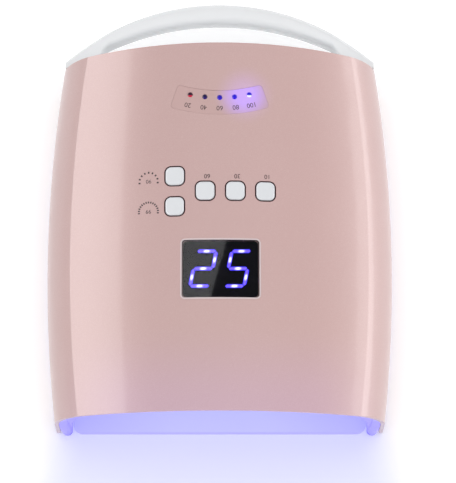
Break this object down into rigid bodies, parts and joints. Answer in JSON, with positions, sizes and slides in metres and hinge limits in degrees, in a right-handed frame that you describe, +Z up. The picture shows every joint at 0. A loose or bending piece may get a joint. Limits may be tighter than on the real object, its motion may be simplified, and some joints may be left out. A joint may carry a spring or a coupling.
{
  "type": "uv led nail lamp",
  "caption": "Cordless two-hand nail curing lamp: arched barrel casing, rear carry handle, display, timer buttons, slide-out tray and hand opening.",
  "frame": {"origin": "bottom centre of the whole lamp, on the surface that its rubber feet stand on", "axes": "+Z up, -Y towards the hand opening (front), +Y towards the carry handle (back), +X to the right seen from the front"},
  "size_m": [0.21, 0.258, 0.0957],
  "materials": {
    "pink_shell": "semi-gloss",
    "white_plastic": "semi-gloss",
    "white_reflector": "semi-gloss",
    "tray_plastic": "satin",
    "button_white": "satin",
    "black_acrylic": "gloss",
    "black_plastic": "matte",
    "digit_light": "diffuse",
    "clear_plastic": "clear",
    "trim_silver": "satin",
    "rubber": "matte",
    "steel": "zinc plated",
    "magnet_nickel": "plated",
    "circuit_green": "solder mask",
    "led_board_white": "white solder mask on aluminium",
    "led_package": "clear dome",
    "cell_wrap": "shrink wrap",
    "nickel_strip": "bright",
    "black_component": "moulded",
    "ferrite": "sintered",
    "wire_red": "insulation",
    "wire_black": "insulation",
    "brass_contact": "plated"
  },
  "bodies": {
    "casing": {"top_shell": "pink_shell", "front_bezel": "white_plastic", "reflector_hood": "white_reflector", "rear_cover": "white_plastic", "battery_door": "white_plastic", "handle": "white_plastic", "catch_plates": "steel", "rubber_feet": "rubber", "case_screws": "steel", "door_screws": "steel", "rear_screws": "steel", "handle_screws": "steel", "board_screws": "steel", "led_board_screws": "steel", "display_window": "black_acrylic", "window_trim": "trim_silver", "display_module": "black_component", "display_digits": "digit_light", "battery_label": "pink_shell", "battery_light_pipes": "clear_plastic", "battery_leds": "led_package", "tact_switches": "black_component", "control_board": "circuit_green", "control_chips": "black_component", "power_inductors": "ferrite", "buzzer": "black_component", "board_connectors": "button_white", "led_board_top": "led_board_white", "led_board_left": "led_board_white", "led_board_right": "led_board_white", "led_strip_left": "led_board_white", "led_strip_right": "led_board_white", "uv_leds": "led_package", "ir_sensors": "black_plastic", "battery_holder": "black_plastic", "battery_cells": "cell_wrap", "cell_tabs": "nickel_strip", "protection_board": "circuit_green", "protection_chips": "black_component", "dc_jack": "black_component", "dc_jack_pin": "brass_contact", "switch_body": "black_plastic", "battery_wires": "wire_red", "led_wires": "wire_red", "charge_wires": "wire_red", "switch_wires": "wire_black"},
    "tray": {"base_tray": "tray_plastic", "tray_magnets": "magnet_nickel"},
    "rocker": {"power_rocker": "black_plastic"},
    "key_10s": {"button_10s": "button_white", "plunger_10s": "black_component"},
    "key_30s": {"button_30s": "button_white", "plunger_30s": "black_component"},
    "key_60s": {"button_60s": "button_white", "plunger_60s": "black_component"},
    "key_90s": {"button_90s": "button_white", "plunger_90s": "black_component"},
    "key_99s": {"button_99s": "button_white", "plunger_99s": "black_component"}
  },
  "joints": [
    {"name": "press_10s", "type": "slide", "parent": "casing", "child": "key_10s", "axis": [0, 0, -1], "range_m": [0, 0.0005], "stiffness_N_per_m": 800, "springref_m": -0.0002},
    {"name": "press_30s", "type": "slide", "parent": "casing", "child": "key_30s", "axis": [0, 0, -1], "range_m": [0, 0.0005], "stiffness_N_per_m": 800, "springref_m": -0.0002},
    {"name": "press_60s", "type": "slide", "parent": "casing", "child": "key_60s", "axis": [0, 0, -1], "range_m": [0, 0.0005], "stiffness_N_per_m": 800, "springref_m": -0.0002},
    {"name": "press_90s", "type": "slide", "parent": "casing", "child": "key_90s", "axis": [0, 0, -1], "range_m": [0, 0.0005], "stiffness_N_per_m": 800, "springref_m": -0.0002},
    {"name": "press_99s", "type": "slide", "parent": "casing", "child": "key_99s", "axis": [0, 0, -1], "range_m": [0, 0.0005], "stiffness_N_per_m": 800, "springref_m": -0.0002},
    {"name": "tray_pull", "type": "slide", "parent": "casing", "child": "tray", "axis": [0, -1, 0], "range_m": [0, 0.18]},
    {"name": "power_rocker_tip", "type": "hinge", "parent": "casing", "child": "rocker", "pos_m": [-0.076, 0.08643, 0.018], "axis": [1, 0, 0], "range_deg": [0, 20]}
  ]
}
